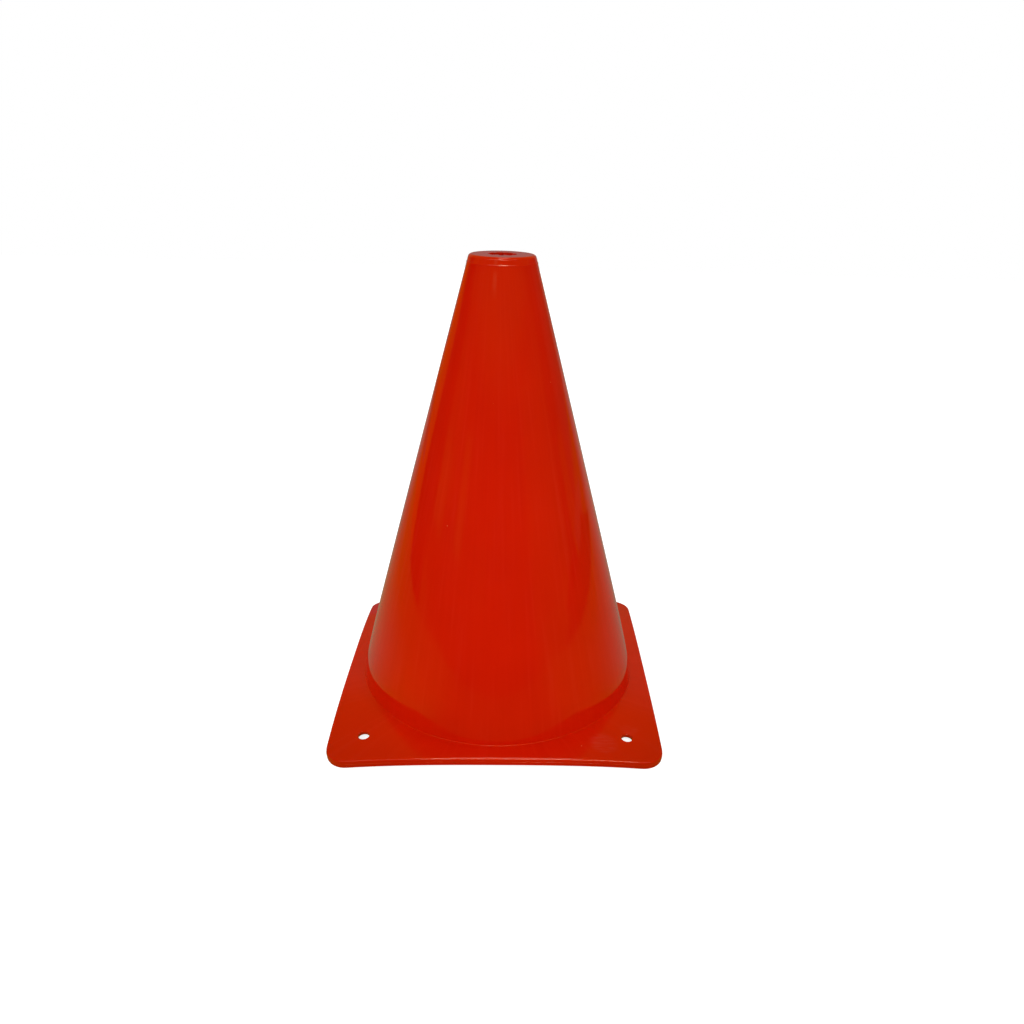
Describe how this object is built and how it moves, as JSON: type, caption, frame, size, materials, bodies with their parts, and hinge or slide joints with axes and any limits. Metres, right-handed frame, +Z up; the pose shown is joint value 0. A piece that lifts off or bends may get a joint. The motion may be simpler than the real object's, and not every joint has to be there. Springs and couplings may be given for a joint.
{
  "type": "training cone",
  "caption": "Small hollow moulded plastic training cone on a square flange with rounded corners, open underneath, with a pole hole at the top and peg holes in the corners.",
  "frame": {"origin": "middle of the base, on the ground", "axes": "+Z up along the cone's axis; X and Y run square to the flange's sides, and the pictured front is the -Y side"},
  "size_m": [0.1404, 0.1404, 0.19],
  "materials": {
    "moulding": "glossy red polyethylene, as moulded"
  },
  "bodies": {
    "root": {"cone_moulding": "moulding"}
  },
  "joints": []
}
